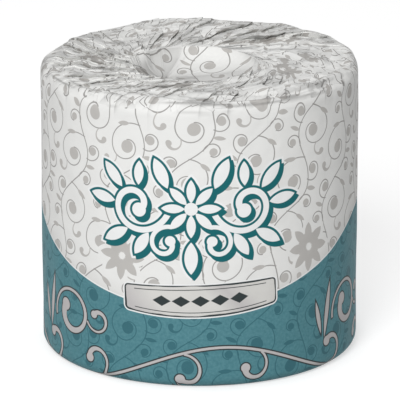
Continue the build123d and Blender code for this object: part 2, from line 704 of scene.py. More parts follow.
@dataclass(frozen=True)
class PaintedShade:
    """How much painted shade the paper's colour takes in its folds, in the creases round the crown's rim and
    in the mouth, where little light comes.
    """

    flap: Flap
    valley_width: float = 0.05
    valley_mean: float = 0.25
    valley_chance: Facets = Facets(1.0, 27, 9.0, 51)
    lighter_on_left: float = 0.35
    pinch: Facets = Facets(4.0, 28, 1.4, 61)
    pinch_least: float = 1.3
    pinch_most: float = 0.9
    rim_paper: float = 105.0
    rim_width: float = 2.6
    flat_part: tuple[float, float, float, float] = (-3.0, 56.0, 6.0, 10.0)
    flat_darkness: float = 0.36
    crease_turn: float = 1.0
    crease_width: float = 2.0
    crease_fade: tuple[float, float] = (0.05, 0.5)
    crease_darkness: float = 0.7
    fan: Span = Span(136.0, 225.0, 10.0, 25.0)
    fan_fade: tuple[float, float] = (0.0, 0.3)
    fan_darkness: float = 0.6
    throat_fade: tuple[float, float] = (0.6, 0.95)
    wall_fade: tuple[float, float] = (0.0, 0.5)
    deep_darkness: float = 0.35

    def darkness(self, rows: list[Row], columns: Columns) -> np.ndarray:
        """Works out the painted shade of the whole sheet.

        Args:
            rows: The sheet's rows.
            columns: The sheet's columns.

        Returns:
            The darkness from 0 to 1, by row and column.
        """
        from_edge = np.where(columns.leaning > 0.5, 1 - columns.in_fold, columns.in_fold)
        dark = np.zeros((len(rows), len(columns.turn)))
        for index, row in enumerate(rows):
            if row.zone.below or row.gather == 0:
                continue
            paper = np.full(columns.turn.shape, row.paper)
            chance = self.valley_chance.rise(columns.fold / self.valley_chance.cells_round, paper)
            valley_shade = np.exp(-from_edge / self.valley_width) * np.clip(self.valley_mean + chance, 0, 1)
            valley_shade *= 1 - self.flap.panel(columns, row)
            # painted shade: dark strokes in the pinched creases round the crown's rim
            pinched = np.clip(self.pinch.rise(columns.turn, paper) - self.pinch_least, 0, self.pinch_most)
            dark[index] = valley_shade * row.gather * (1 - self.lighter_on_left * columns.leftwards)
            dark[index] += pinched * bell(row.paper, self.rim_paper, self.rim_width)
            if row.into > 0:
                dark[index] += valley_shade * (1 - columns.flap) + self.in_mouth(columns, row.into)
        return np.clip(dark, 0, 1)

    def in_mouth(self, columns: Columns, into: float) -> np.ndarray:
        """Works out what more painted shade there is in the mouth: on the flap, in its crease and further
        down.

        Args:
            columns: The sheet's columns.
            into: How far the row has gone into the mouth, from 0 to 1.

        Returns:
            The darkness, by column.
        """
        into = np.array(into)
        low, high, fade_in, fade_out = self.flat_part
        flat = Span(self.flap.crease + low, self.flap.crease + high, fade_in, fade_out).share(columns.lip)
        crease = np.exp(-np.abs(columns.lip - self.flap.crease - self.crease_turn) / self.crease_width)
        crease *= smooth_step(*self.crease_fade, into)
        fan = self.fan.share(columns.lip) * smooth_step(*self.fan_fade, into) * (1 - columns.in_fold)
        deep = smooth_step(*self.throat_fade, into) + (1 - columns.flap) * smooth_step(*self.wall_fade, into)
        dark = self.flat_darkness * flat * columns.flap + self.deep_darkness * deep
        return dark + self.crease_darkness * crease + self.fan_darkness * fan


@dataclass(frozen=True)
class Wrapper:
    """The printed paper sheet: one flat grid, wound round the roll and gathered into both mouths."""

    pack: Pack
    mouth: Mouth = Mouth()
    flap: Flap = Flap()
    kinks: tuple[Facets, ...] = (
        Facets(3.0, 9, 13.0, 11),
        Facets(1.1, 27, 12.0, 12),
        Facets(0.5, 81, 7.0, 13),
    )
    kink_start: float = 8.0
    turn_halfway: float = 0.5
    crown_slope: float = 0.0115
    flap_steeper: float = 0.35
    flat_part_steeper: float = 0.9
    print_narrowing: float = 0.5
    mouth_print: float = 0.75
    end_print: float = 0.03
    panel_tilt: float = 40.0
    panel_print: tuple[float, float] = (140.0, 170.0)
    panel_least: float = 0.3
    sharp_edge: float = 30.0
    merge_distance: float = 1e-4

    @property
    def section(self) -> Section:
        """The sheet's rows."""
        return Section(self.pack, self.mouth)

    @property
    def strips(self) -> Strips:
        """The sheet's strips and columns."""
        return Strips(self.pack, self.mouth, self.flap)

    def plan(self, rows: list[Row]) -> tuple[np.ndarray, np.ndarray]:
        """Places every grid point in plan, with folds that kink as they come in.

        Args:
            rows: The sheet's rows.

        Returns:
            Angles in radians and radii, by row and column.
        """
        strips, section = self.strips, self.section
        starts, in_strip = strips.starts(), strips.in_strip
        turn = np.arange(len(starts)) / (len(starts) - 1)
        offset = strips.offset_at(starts)
        angles, radii = [], []
        for row in rows:
            along = np.full(len(starts), max(row.inwards, 0.0) * section.crown_width)
            kink = sum(facets.rise(turn, along) for facets in self.kinks)
            kink *= smooth_step(0, self.kink_start, along) * (not row.zone.below)
            radius = section.radius_at(row, starts + self.turn_halfway)
            edges = starts + strips.swirl(radius, offset) + kink / radius
            across = edges[:-1, None] * (1 - in_strip) + edges[1:, None] * in_strip
            angle = np.append(across.ravel(), edges[-1])
            angles.append(angle)
            radii.append(section.radius_at(row, angle))
        angles, radii = np.array(angles), np.array(radii)
        angles[:, -1], radii[:, -1] = angles[:, 0], radii[:, 0]
        return angles, radii

    def unfolded(self, rows: list[Row], columns: Columns) -> np.ndarray:
        """Lays the sheet without folds or crumples.

        Args:
            rows: The sheet's rows.
            columns: The sheet's columns.

        Returns:
            Points by row and column.
        """
        angles, radii = self.plan(rows)
        reach = 1 - self.flap_steeper * columns.flap
        reach *= self.mouth.lip_reach * (1 - self.flat_part_steeper * self.flap.past_crease(columns))
        points = np.zeros((*angles.shape, 3))
        for index, row in enumerate(rows):
            angle, radius = angles[index], radii[index]
            points[index] = radius[:, None] * level_direction(angle)
            points[index, :, 2] = row.level
            if row.into > 0:
                heading = angle + pi - np.arcsin(np.minimum(columns.offset / radius, 1))
                onwards = reach[:, None] * level_direction(heading)
                points[index] = self.mouth.descend(points[index], angle, onwards, row)
        return points

    def relief(self, rows: list[Row], columns: Columns, base: np.ndarray) -> tuple[np.ndarray, np.ndarray]:
        """Works out how far every point stands out of the unfolded surface and slides round it.

        Args:
            rows: The sheet's rows.
            columns: The sheet's columns.
            base: The unfolded surface, by row and column.

        Returns:
            The rise and the slide, by row and column.
        """
        folds = Folds(self.pack, self.flap)
        rise, slide = np.zeros(base.shape[:2]), np.zeros(base.shape[:2])
        width = self.strips.columns_each * self.strips.per_fold
        for index, row in enumerate(rows):
            rise[index] = folds.plain(columns, row)
            if row.zone.below or row.gather == 0:
                continue
            around = base[index, :-1]
            gap = np.linalg.norm(np.roll(around, -width, axis=0) - around, axis=1)
            inside = self.section.crown_width * row.inwards - columns.begin
            raised, slide[index] = folds.gathered(columns, row, base[index], np.append(gap, gap[0]), inside)
            rise[index] += raised
        return rise, slide

    def surface(self, rows: list[Row], columns: Columns) -> np.ndarray:
        """Places every grid point.

        Args:
            rows: The sheet's rows.
            columns: The sheet's columns.

        Returns:
            Points by row and column.
        """
        base = self.unfolded(rows, columns)
        around = np.roll(base[:, :-1], -1, axis=1) - np.roll(base[:, :-1], 1, axis=1)
        around = np.concatenate([around, around[:, :1]], axis=1)
        normal = np.cross(around, np.gradient(base, axis=0))
        normal /= np.maximum(np.linalg.norm(normal, axis=2, keepdims=True), TINY)
        around /= np.maximum(np.linalg.norm(around, axis=2, keepdims=True), TINY)
        rise, slide = self.relief(rows, columns, base)
        points = base + normal * rise[..., None] + around * slide[..., None]
        points[:, -1] = points[:, 0]
        points[0] = points[0].mean(axis=0)
        points[-1] = points[-1].mean(axis=0)
        points[..., 2] *= 1 + self.crown_slope * points[..., 0] / self.pack.height
        points[..., 2] = np.maximum(points[..., 2], 0)
        return points

    def print_share(self, row: Row) -> float:
        """Works out how much of a fold's width of paper shows in a row.

        Args:
            row: The row.

        Returns:
            The share that shows, from 0 to 1.
        """
        if row.into > 0:
            return max(self.mouth_print * (1 - row.into), self.end_print)
        inwards = 1 - float(self.section.radius_at(row, np.array(0.0))) / self.pack.radius
        return min(1 - self.print_narrowing * inwards, 1)

    def print_grid(self, rows: list[Row], points: np.ndarray) -> tuple[np.ndarray, np.ndarray]:
        """Finds each grid point's place on the flat printed sheet, with what a fold hides left out.

        Args:
            rows: The sheet's rows.
            points: Where every grid point lies.

        Returns:
            Places by row, fold and the columns from one fold's start to the next one's, first in the
            print round the roll and then in the print on the flap.
        """
        group = self.strips.per_fold
        each = group * self.strips.columns_each
        starts = self.strips.starts()
        shares = np.array([self.print_share(row) for row in rows])[:, None, None]
        picked = np.arange(self.pack.fold_count)[:, None] * each + np.arange(each + 1)
        strip = np.minimum((picked - picked[:, :1]) // self.strips.columns_each, group - 1)
        strip += np.arange(self.pack.fold_count)[:, None] * group
        in_strip = np.append(np.tile(self.strips.in_strip, group), 1.0)
        angle = starts[strip] + (starts[strip + 1] - starts[strip]) * in_strip
        middle = ((starts[:-1:group] + starts[group::group]) / 2)[:, None]
        across = (middle + (angle - middle) * shares) * self.pack.radius
        paper = np.array([row.paper for row in rows])[:, None, None]
        tilt = radians(self.panel_tilt)
        up = points[..., 1] * cos(tilt) + (points[..., 2] - self.pack.height) * sin(tilt)
        around = np.stack([across, np.broadcast_to(paper, across.shape)], axis=-1)
        on_flap = np.stack([points[..., 0], up], axis=-1)[:, picked] + self.panel_print
        return around, on_flap

    def write_print_map(self, sheet: bmesh.types.BMesh, rows: list[Row], columns: Columns,
                        points: np.ndarray) -> None:
        """Gives each face its place on the flat printed sheet.

        Args:
            sheet: The flat grid.
            rows: The sheet's rows.
            columns: The sheet's columns.
            points: Where every grid point lies.
        """
        each = self.strips.per_fold * self.strips.columns_each
        flap = np.nonzero(columns.flap[:-1] > self.panel_least)[0] // each
        lip = next(line for line, row in enumerate(rows) if row.zone is Zone.UPPER_MOUTH) - 1
        around, on_flap = self.print_grid(rows, points)
        flat = sheet.loops.layers.uv.new("Sheet")
        for face in sheet.faces:
            spots = [self.grid_place(loop.vert, len(rows)) for loop in face.loops]
            fold = min(column for column, _ in spots) // each
            smooth = flap.min() <= fold <= flap.max() and min(line for _, line in spots) >= lip
            for loop, (column, line) in zip(face.loops, spots):
                loop[flat].uv = (on_flap if smooth else around)[line, fold, column - fold * each]

    def grid_place(self, vertex: bmesh.types.BMVert, row_count: int) -> tuple[int, int]:
        """The column and the row of a vertex in the flat grid."""
        return (round((vertex.co.x + 0.5) * self.strips.column_count),
                round((vertex.co.y + 0.5) * (row_count - 1)))

    def build(self) -> bpy.types.Object:
        """Makes the sheet's mesh and its object.

        Returns:
            The wrapper, in place.
        """
        rows, columns = self.section.rows(), self.strips.columns()
        points, dark = self.surface(rows, columns), PaintedShade(self.flap).darkness(rows, columns)
        count = self.strips.column_count
        sheet = bmesh.new()
        shade = sheet.verts.layers.float.new("Shade")
        bmesh.ops.create_grid(sheet, x_segments=count, y_segments=len(rows) - 1, size=0.5)
        self.write_print_map(sheet, rows, columns, points)
        for vertex in sheet.verts:
            column, line = self.grid_place(vertex, len(rows))
            # painted shade, kept on each vertex for the paper's colour
            vertex[shade] = dark[line, column % count]
            vertex.co = Vector(points[line, column]) * MM
        bmesh.ops.remove_doubles(sheet, verts=sheet.verts, dist=self.merge_distance * MM)
        bmesh.ops.recalc_face_normals(sheet, faces=sheet.faces)
        for face in sheet.faces:
            face.smooth = True
        for edge in sheet.edges:
            edge.smooth = edge.calc_face_angle(0) < radians(self.sharp_edge)
        mesh = bpy.data.meshes.new("wrapper")
        sheet.to_mesh(mesh)
        sheet.free()
        wrapper = bpy.data.objects.new("wrapper", mesh)
        bpy.context.scene.collection.objects.link(wrapper)
        return wrapper


class Value:
    """A number that varies over a surface: a node's socket that takes part in Python expressions."""

    def __init__(self, wiring: "Wiring", socket: bpy.types.NodeSocket) -> None:
        """Keeps the socket and the wiring that adds nodes for it."""
        self.wiring = wiring
        self.socket = socket

    def math(self, operation: str, *others: "Number") -> "Value":
        """The result of a Math node that takes this first."""
        return self.wiring.math(operation, self, *others)

    def __add__(self, other: "Number") -> "Value":
        """This plus another number."""
        return self.math("ADD", other)

    __radd__ = __add__

    def __sub__(self, other: "Number") -> "Value":
        """This less another number."""
        return self.math("SUBTRACT", other)

    def __rsub__(self, other: "Number") -> "Value":
        """Another number less this."""
        return self.wiring.math("SUBTRACT", other, self)

    def __mul__(self, other: "Number") -> "Value":
        """This times another number."""
        return self.math("MULTIPLY", other)

    __rmul__ = __mul__

    def __truediv__(self, other: "Number") -> "Value":
        """This divided by another number."""
        return self.math("DIVIDE", other)

    def __rtruediv__(self, other: "Number") -> "Value":
        """Another number divided by this."""
        return self.wiring.math("DIVIDE", other, self)

    def __mod__(self, other: "Number") -> "Value":
        """What is left of this after whole multiples of another number, never below 0."""
        return self.math("FLOORED_MODULO", other)

    def __abs__(self) -> "Value":
        """The size of this without its sign."""
        return self.math("ABSOLUTE")

    def repeated(self, step: float) -> "Value":
        """How far this is from the nearest whole multiple of a step."""
        return (self + step / 2) % step - step / 2

    def ink(self, softness: float = 0.15) -> "Value":
        """How fully ink covers a spot that lies this deep in a printed shape, in mm."""
        return self.wiring.value("ShaderNodeClamp", None, {0: self / softness + 0.5})

    def mix(self, under: object, over: object) -> "Value":
        """The colour under, covered by the colour over as far as this says."""
        return self.wiring.value("ShaderNodeMix", {"data_type": "RGBA"}, {0: self, 6: under, 7: over}, 2)

    def noise(self, scale: float, detail: float = 2.0, output: str = "Fac") -> "Value":
        """A cloudy pattern over this place, with scale in cells for each mm."""
        sockets = {"Vector": self, "Scale": scale, "Detail": detail}
        return self.wiring.value("ShaderNodeTexNoise", None, sockets, output)

    def parts(self) -> tuple["Value", "Value"]:
        """The first two numbers of this vector or colour."""
        split = self.wiring.node("ShaderNodeSeparateXYZ", None, {0: self})
        return Value(self.wiring, split.outputs[0]), Value(self.wiring, split.outputs[1])


Number = Value | float


def lowest(first: Value, *others: Number) -> Value:
    """Finds the lowest of several numbers.

    Args:
        first: One of them.
        others: The rest.

    Returns:
        The lowest.
    """
    for other in others:
        first = first.math("MINIMUM", other)
    return first


def highest(first: Value, *others: Number) -> Value:
    """Finds the highest of several numbers.

    Args:
        first: One of them.
        others: The rest.

    Returns:
        The highest.
    """
    for other in others:
        first = first.math("MAXIMUM", other)
    return first


class Wiring:
    """Adds nodes to one node tree and wires them up."""

    def __init__(self, tree: bpy.types.NodeTree) -> None:
        """Keeps the node tree."""
        self.tree = tree

    def node(self, kind: str, settings: dict | None = None, sockets: dict | None = None) -> bpy.types.Node:
        """Adds one node.

        Args:
            kind: The node's type.
            settings: Its own properties, which are set first.
            sockets: Values or links for its inputs, by name or number.

        Returns:
            The node.
        """
        made = self.tree.nodes.new(kind)
        for name, setting in (settings or {}).items():
            setattr(made, name, setting)
        for key, value in (sockets or {}).items():
            self.feed(made.inputs[key], value)
        return made

    def value(self, kind: str, settings: dict | None = None, sockets: dict | None = None,
              output: str | int = 0) -> Value:
        """Adds one node and takes one of its outputs.

        Args:
            kind: The node's type.
            settings: Its own properties, which are set first.
            sockets: Values or links for its inputs, by name or number.
            output: The output's name or number.

        Returns:
            The output.
        """
        return Value(self, self.node(kind, settings, sockets).outputs[output])

    def feed(self, socket: bpy.types.NodeSocket, value: object) -> None:
        """Links a value to an input, or sets the input if the value is a plain number or colour."""
        if isinstance(value, Value):
            self.tree.links.new(value.socket, socket)
        else:
            socket.default_value = value

    def math(self, operation: str, *numbers: Number) -> Value:
        """A Math node's result."""
        return self.value("ShaderNodeMath", {"operation": operation}, dict(enumerate(numbers)))


@dataclass(frozen=True)
class Spot:
    """A spot on the printed sheet, in mm across and up from some place."""

    x: Value
    y: Value

    @property
    def reach(self) -> Value:
        """How far the spot is from that place."""
        return (self.x * self.x + self.y * self.y).math("SQRT")

    @property
    def turned(self) -> Value:
        """The spot's direction from that place, in radians."""
        return self.y.math("ARCTAN2", self.x)

    def off(self, place: tuple[float, float]) -> "Spot":
        """The same spot, counted from another place."""
        return Spot(self.x - place[0], self.y - place[1])

    def along(self, heading: float) -> "Spot":
        """The same spot, counted along a heading in degrees and to its left."""
        ahead, left = cos(radians(heading)), sin(radians(heading))
        return Spot(self.x * ahead + self.y * left, self.y * ahead - self.x * left)


@dataclass(frozen=True)
class Curl:
    """One tendril that winds in towards an eye, with its sizes in mm and its angles in degrees."""

    eye: tuple[float, float]
    start: float
    radius: float
    tightening: float
    sweep: float
    width: float = 0.4
    end_width: float = 0.4
    ball: float = 0.0
    clockwise: bool = True
    line_width: float = 0.6

    @property
    def is_line(self) -> bool:
        """Whether the tendril stays a thin line, with its ball in its eye."""
        return self.end_width < self.line_width

    @property
    def ball_place(self) -> tuple[float, float]:
        """Where the ball's middle lies: in the eye, or at the end of a broad tendril.

        Returns:
            The place across and up.
        """
        if self.is_line:
            return self.eye
        swept = radians(self.sweep)
        turned = radians(self.start) - swept if self.clockwise else radians(self.start) + swept
        reach = self.radius * e ** (-swept * self.tightening)
        return self.eye[0] + reach * cos(turned), self.eye[1] + reach * sin(turned)

    def stroke(self, spot: Spot) -> Value:
        """Works out how deep a spot lies in the tendril's stroke.

        Args:
            spot: The spot.

        Returns:
            The depth in mm, below 0 outside.
        """
        around = spot.off(self.eye)
        reach, turned = around.reach, around.turned
        swept = radians(self.start) - turned if self.clockwise else turned - radians(self.start)
        swept = swept % tau
        wound = (self.radius / reach).math("LOGARITHM", e) / self.tightening
        swept = swept + ((wound - swept) / tau).math("ROUND") * tau
        line = self.radius * (swept * -self.tightening).math("EXPONENT")
        share = swept / radians(self.sweep)
        half = (self.width + share * share * (self.end_width - self.width)) / 2
        return lowest(half - abs(reach - line), swept * line, (radians(self.sweep) - swept) * line)

    def dot(self, spot: Spot) -> Value:
        """How deep a spot lies in the ball, in mm."""
        return self.ball - spot.off(self.ball_place).reach


@dataclass(frozen=True)
class Leaf:
    """One pointed leaf or petal, with its sizes in mm and its heading in degrees."""

    place: tuple[float, float]
    heading: float
    length: float
    width: float

    def depth(self, spot: Spot) -> Value:
        """Works out how deep a spot lies in the leaf.

        Args:
            spot: The spot.

        Returns:
            The depth in mm, below 0 outside.
        """
        local = spot.off(self.place).along(self.heading)
        bow = (self.length**2 - self.width**2) / 4 / self.width
        return bow + self.width / 2 - Spot(local.x - self.length / 2, abs(local.y) + bow).reach


@dataclass(frozen=True)
class Rosette:
    """A traditional flower with its petals round a heart, and a small leaf between each two."""

    petals: int
    start: float
    petal: float
    width: float
    leaf: float = 0.0
    leaf_width: float = 0.0
    heart: float = 0.0

    def depth(self, spot: Spot) -> Value:
        """Works out how deep a spot lies in the flower.

        Args:
            spot: The spot, counted from the flower's middle.

        Returns:
            The depth in mm, below 0 outside.
        """
        reach, turned = spot.reach, spot.turned
        depth = self.ring(reach, turned, self.petal, self.width)
        if self.leaf:
            depth = highest(depth, self.ring(reach, turned + pi / self.petals, self.leaf, self.leaf_width))
        if self.heart:
            depth = highest(depth, self.heart - reach)
        return depth

    def ring(self, reach: Value, turned: Value, length: float, width: float) -> Value:
        """Works out how deep a spot lies in the nearest of a ring of leaves that point outwards.

        Args:
            reach: The spot's distance from the middle.
            turned: Its direction from there.
            length: How long the leaves are.
            width: How wide they are.

        Returns:
            The depth in mm, below 0 outside.
        """
        nearest = (turned + tau).repeated(tau / self.petals)
        petal = Leaf((self.start, 0.0), 0.0, length, width)
        return petal.depth(Spot(reach * nearest.math("COSINE"), reach * nearest.math("SINE")))


@dataclass(frozen=True)
class Scrollwork:
    """A running scroll: a waved stem with tendrils and leaves in each bend, row above row."""

    wave: float
    pitch: float
    sway: float
    stem: float
    curls: tuple[Curl, ...]
    leaves: tuple[Leaf, ...]
    row_step: float = 0.37

    def depth(self, spot: Spot) -> tuple[Value, Value]:
        """Works out how deep a spot lies in the scrollwork.

        Args:
            spot: The spot, with its X along the stems.

        Returns:
            The depth in the thin lines and the depth in the filled shapes, in mm.
        """
        half = self.wave / 2
        line = (spot.y / self.pitch).math("FLOOR")
        x = spot.x + line * (self.wave * self.row_step)
        flip = 1.0 - 2.0 * ((x / half).math("FLOOR") % 2.0)
        place = Spot(x % half - half / 2, (spot.y - line * self.pitch - self.pitch / 2) * flip)
        bend = place.x * (pi / half)
        steep = bend.math("SINE") * (self.sway * pi / half)
        off = abs(place.y - self.sway * bend.math("COSINE"))
        lines = [self.stem / 2 - off / (1.0 + steep * steep).math("SQRT")]
        fills = [leaf.depth(place) for leaf in self.leaves]
        for curl in self.curls:
            (lines if curl.is_line else fills).append(curl.stroke(place))
            fills.append(curl.dot(place))
        return highest(*lines), highest(*fills)


@dataclass(frozen=True)
class Spray:
    """The ornament in the middle of the front: a flower between two mirrored leafy scrolls."""

    middle: tuple[float, float] = (-3.0, 67.5)
    flower: Rosette = Rosette(petals=8, start=2.2, petal=8.6, width=3.3, heart=2.4)
    curls: tuple[Curl, ...] = (
        Curl((20.5, 1.0), 196.0, 12.5, 0.22, 400.0, 2.2, 2.6, ball=2.6, clockwise=False),
        Curl((9.3, -13.4), 112.0, 7.0, 0.2, 327.0, 1.6, 2.0, ball=1.9),
    )
    leaves: tuple[Leaf, ...] = (
        Leaf((8.4, 7.4), 66.0, 12.0, 4.6),
        Leaf((15.4, -9.4), -58.0, 10.0, 4.2),
        Leaf((23.4, -8.6), -30.0, 11.0, 4.2),
        Leaf((28.6, 1.0), 8.0, 10.5, 4.0),
        Leaf((25.6, 6.6), 50.0, 11.0, 4.2),
        Leaf((19.2, 8.0), 92.0, 9.0, 3.6),
        Leaf((0.0, -12.4), -90.0, 12.0, 4.8),
    )

    def depth(self, spot: Spot) -> Value:
        """Works out how deep a spot lies in the ornament.

        Args:
            spot: The spot, counted from the front and the foot.

        Returns:
            The depth in mm, below 0 outside.
        """
        local = spot.off(self.middle)
        half = Spot(abs(local.x), local.y)
        parts = [leaf.depth(half) for leaf in self.leaves]
        for curl in self.curls:
            parts += [curl.stroke(half), curl.dot(half)]
        return highest(self.flower.depth(half), *parts)


@dataclass(frozen=True)
class Plaque:
    """The bowed silver plate under the ornament, which carries a row of lozenges between two rules."""

    middle: tuple[float, float] = (0.3, 34.4)
    half_width: float = 28.6
    half_height: float = 5.2
    sag: float = 2.6
    corner: float = 2.0
    tilt: float = 2.1
    lozenge_gap: float = 7.0
    lozenge: float = 2.0
    lozenge_slope: float = 0.6
    lozenge_sharpness: float = 0.8
    lozenge_count: int = 5
    rule_inset: float = 2.2
    rule_width: float = 0.3
    sheen_slant: float = 0.8
    band: tuple[float, float, float] = (12.0, 3.0, 9.0)
    dark_end: tuple[float, float] = (-22.0, 12.0)

    def local(self, spot: Spot) -> tuple[Spot, Value]:
        """Counts a spot along the plate and up from its bowed middle line.

        Args:
            spot: The spot, counted from the front and the foot.

        Returns:
            The spot, and half the plate's height there.
        """
        level = spot.off(self.middle).along(self.tilt)
        lower = (1.0 - level.x * level.x * (1 / self.half_width**2)) * (self.sag / 2)
        return Spot(level.x, level.y + lower), lower + self.half_height

    def depth(self, spot: Spot) -> Value:
        """Works out how deep a spot lies in the plate.

        Args:
            spot: The spot, counted from the front and the foot.

        Returns:
            The depth in mm, below 0 outside.
        """
        place, half_height = self.local(spot)
        side = highest(abs(place.x) - (self.half_width - self.corner), 0.0)
        rise = highest(abs(place.y) - half_height + self.corner, 0.0)
        return self.corner - Spot(side, rise).reach

    def sheen(self, spot: Spot) -> Value:
        """Works out how far a spot lies in the darker bands of the painted sheen on the plate's silver.

        Args:
            spot: The spot, counted from the front and the foot.

        Returns:
            The share from 0 to 1.
        """
        place, _ = self.local(spot)
        slanted = place.x + place.y * self.sheen_slant
        middle, half_width, softness = self.band
        start, fade = self.dark_end
        return highest((half_width - abs(slanted - middle)).ink(softness), (start - slanted).ink(fade))

    def marks(self, spot: Spot) -> Value:
        """Works out how deep a spot lies in the plate's lozenges and rules.

        Args:
            spot: The spot, counted from the front and the foot.

        Returns:
            The depth in mm, below 0 outside.
        """
        place, half_height = self.local(spot)
        step = (place.x + self.lozenge_gap / 2 * (self.lozenge_count % 2 - 1)).repeated(self.lozenge_gap)
        mark = (self.lozenge - abs(step) * self.lozenge_slope - abs(place.y)) * self.lozenge_sharpness
        mark = lowest(mark, self.lozenge_gap * self.lozenge_count / 2 - abs(place.x))
        rule = self.rule_width / 2 - abs(abs(place.y) - half_height + self.rule_inset)
        return highest(mark, lowest(rule, self.half_width - 2 * self.rule_inset - abs(place.x)))


@dataclass(frozen=True)
class PaperFinish:
    """Smooth, slightly glossy wrapping paper, printed in teal, silver and greys."""

    pack: Pack
    mouth_start: float
    white: Colour = (0.815, 0.815, 0.80, 1)
    clean_white: Colour = (0.86, 0.87, 0.87, 1)
    grey: Colour = (0.51, 0.495, 0.475, 1)
    line_grey: Colour = (0.33, 0.32, 0.31, 1)
    teal: Colour = (0.066, 0.202, 0.238, 1)
    light_teal: Colour = (0.10, 0.258, 0.293, 1)
    deep_teal: Colour = (0.042, 0.147, 0.178, 1)
    ornament_teal: Colour = (0.006, 0.125, 0.14, 1)
    silver: Colour = (0.52, 0.50, 0.50, 1)
    bright_silver: Colour = (0.67, 0.66, 0.635, 1)
    dark: Colour = (0.03, 0.04, 0.042, 1)
    valley_shade: Colour = (0.16, 0.155, 0.15, 1)
    valley_shade_depth: float = 0.7
    roughness: float = 0.5
    uneven_gloss: float = 0.14
    gloss_scale: float = 0.12
    specular: float = 0.2
    fibre_scale: float = 2.2
    fibre_height: float = 0.025
    wave_scale: float = 0.09
    wave_height: float = 0.6
    broad_facet: tuple[float, float] = (9.0, 9.0)
    small_facet: tuple[float, float] = (4.5, 7.0)
    small_share: float = 0.5
    small_rise: float = 0.8
    facet_skew: float = 0.4
    edge_level: float = 30.2
    edge_middle: float = -5.0
    edge_bow: float = 0.0038
    edge_top: float = 55.0
    edge_rounding: float = 10.0
    edge_line: float = 0.25
    edge_waves: int = 2
    edge_shade: float = 0.25
    edge_shade_height: float = 3.0
    edge_shade_softness: float = 5.0
    mottle_scale: float = 0.9
    mottle_softness: float = 0.4
    rosette_place: tuple[float, float] = (43.0, 48.0)
    rosette_rise: float = 78.0
    rosettes_round: int = 5
    rosette_clearance: float = 1.6
    rosette: Rosette = Rosette(petals=8, start=1.2, petal=8.0, width=3.4, leaf=4.2, leaf_width=1.4)
    vine_tilt: float = 72.0
    vine_place: tuple[float, float] = (-4.0, -2.0)
    scroll_place: tuple[float, float] = (8.0, 7.0)
    scrolls_round: int = 3
    outline: float = 0.5
    spray_rim: float = 1.7
    spray_outline: float = 0.9
    spray_shadow: float = 0.7
    spray_shadow_place: tuple[float, float] = (1.1, -1.4)
    plate_rim: float = 0.4
    plate_rim_stray: float = 1.3
    plate_rim_scale: float = 0.11
    warp: float = 1.6
    warp_scale: float = 0.045
    facet_tilt: float = 0.4
    gather_start: float = 3.2
    gather_softness: float = 2.4
    mouth_softness: float = 4.0
    print_shift: float = 5.0

    def material(self) -> bpy.types.Material:
        """Builds the material.

        Returns:
            The printed paper.
        """
        material = bpy.data.materials.new("printed_paper")
        material.use_nodes = True
        paper = Wiring(material.node_tree)
        surface = material.node_tree.nodes["Principled BSDF"]
        sheet = paper.value("ShaderNodeUVMap", {"uv_map": "Sheet"})
        spot = Spot(*sheet.parts()).off((self.pack.front, 0.0))
        rise, lean = self.crumple(spot, *self.broad_facet)
        small_rise, small_lean = self.crumple(spot, *self.small_facet)
        small_shift = self.print_shift * self.small_share
        printed = Spot(spot.x + lean.x * self.print_shift + small_lean.x * small_shift,
                       spot.y + lean.y * self.print_shift + small_lean.y * small_shift)
        shade = paper.value("ShaderNodeAttribute", {"attribute_name": "Shade"}, None, "Fac")
        # painted shade: the Shade attribute darkens the print towards a dark grey in folds, rim creases and
        # the mouth
        colour = (shade * self.valley_shade_depth).mix(self.printed(sheet, printed), self.valley_shade)
        uneven = sheet.noise(self.gloss_scale) * self.uneven_gloss
        paper.feed(surface.inputs["Base Color"], colour)
        paper.feed(surface.inputs["Roughness"], uneven + self.roughness)
        paper.feed(surface.inputs["Specular IOR Level"], self.specular)
        paper.feed(surface.inputs["Normal"], self.relief(sheet, rise + small_rise * self.small_rise, spot.y))
        return material

    def crumple(self, spot: Spot, wide: float, high: float) -> tuple[Value, Spot]:
        """Breaks the gathered paper into small flat facets, each with a tilt of its own.

        Args:
            spot: The spot, counted from the front and the foot.
            wide: How wide the facets are, in mm.
            high: How high they are.

        Returns:
            The facets' rise in mm, and how far each leans across and up.
        """
        wiring = spot.x.wiring
        skewed = spot.x + spot.y * self.facet_skew
        cells = wiring.value("ShaderNodeCombineXYZ", None, {0: skewed / wide, 1: spot.y / high})
        facet = wiring.node("ShaderNodeTexVoronoi", None, {"Vector": cells, "Scale": 1.0})
        middle = Spot(*Value(wiring, facet.outputs["Position"]).parts())
        chance = Spot(*Value(wiring, facet.outputs["Color"]).parts()).off((0.5, 0.5))
        over_rim = (spot.y - self.pack.crown_start - self.gather_start).ink(self.gather_softness)
        gathered = over_rim * (1.0 - (spot.y - self.mouth_start).ink(self.mouth_softness))
        rise = (skewed - middle.x * wide) * chance.x + (spot.y - middle.y * high) * chance.y
        return rise * gathered, Spot(chance.x * gathered, chance.y * gathered)

    def relief(self, sheet: Value, facets_rise: Value, y: Value) -> Value:
        """Gives the paper its facets, its soft waves and its fibres.

        Args:
            sheet: The spot's place on the sheet.
            facets_rise: How far the facets rise, in mm.
            y: The spot's place up the sheet.

        Returns:
            The bumped normal.
        """
        fibres = sheet.noise(self.fibre_scale, 3.0) * self.fibre_height
        waves = sheet.noise(self.wave_scale) * self.wave_height
        outside = 1.0 - (y - self.mouth_start).ink(self.mouth_softness)
        height = facets_rise * self.facet_tilt + fibres + waves * outside
        sockets = {"Strength": 1.0, "Distance": MM, "Height": height}
        return sheet.wiring.value("ShaderNodeBump", None, sockets)

